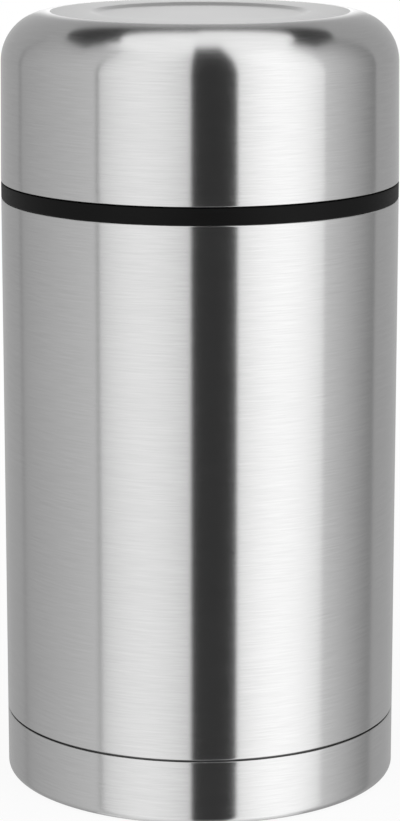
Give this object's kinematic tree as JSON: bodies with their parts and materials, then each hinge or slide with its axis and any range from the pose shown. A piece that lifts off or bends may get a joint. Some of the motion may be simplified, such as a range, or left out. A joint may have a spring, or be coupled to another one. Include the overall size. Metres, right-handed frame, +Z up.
{
  "type": "insulated food jar",
  "caption": "Tall double-walled steel food jar with a black collar band, a screw-in stopper with a press-to-vent button, and a domed steel cup over it.",
  "frame": {"origin": "centre of the ring that the jar stands on, on the jar's axis", "axes": "+Z up the jar's axis, from the base to the cup; -Y towards the picture's camera; +X to its right"},
  "size_m": [0.104, 0.104, 0.2036],
  "materials": {
    "brushed_shell_steel": "brushed round the axis, satin",
    "vessel_steel": "electropolished, soft satin",
    "inner_steel": "as rolled",
    "spring_steel": "drawn wire",
    "foil": "bright foil",
    "bead_glass": "fused solder glass",
    "getter_metal": "pressed powder, matte",
    "collar_plastic": "moulded polypropylene, semi-gloss",
    "stopper_plastic": "moulded polypropylene, fine satin texture",
    "button_plastic": "moulded, semi-gloss",
    "liner_plastic": "moulded polypropylene, satin",
    "silicone": "moulded silicone, matte",
    "foam": "closed-cell foam"
  },
  "bodies": {
    "jar": {"outer_shell": "brushed_shell_steel", "vessel_wall": "vessel_steel", "vessel_floor": "vessel_steel", "radiation_foil": "foil", "vacuum_base": "inner_steel", "seal_bead": "bead_glass", "getter_holder": "inner_steel", "getter_pellet": "getter_metal", "base_cap": "brushed_shell_steel", "collar": "collar_plastic"},
    "stopper": {"stopper_top": "stopper_plastic", "stopper_base": "stopper_plastic", "stopper_foam": "foam", "stopper_gasket": "silicone", "vent_spring": "spring_steel"},
    "vent": {"vent_button": "button_plastic", "vent_stem": "button_plastic", "vent_seal": "silicone"},
    "cup": {"cup_shell": "brushed_shell_steel", "cup_liner": "liner_plastic"}
  },
  "joints": [
    {"name": "stopper_lift", "type": "slide", "parent": "jar", "child": "stopper", "axis": [0, 0, 1], "range_m": [0, 0.06]},
    {"name": "cup_lift", "type": "slide", "parent": "stopper", "child": "cup", "axis": [0, 0, 1], "range_m": [0, 0.06]},
    {"name": "vent_press", "type": "slide", "parent": "stopper", "child": "vent", "axis": [0, 0, -1], "range_m": [0, 0.002], "stiffness_N_per_m": 600, "springref_m": -0.004, "deforming": ["vent_spring"]}
  ]
}
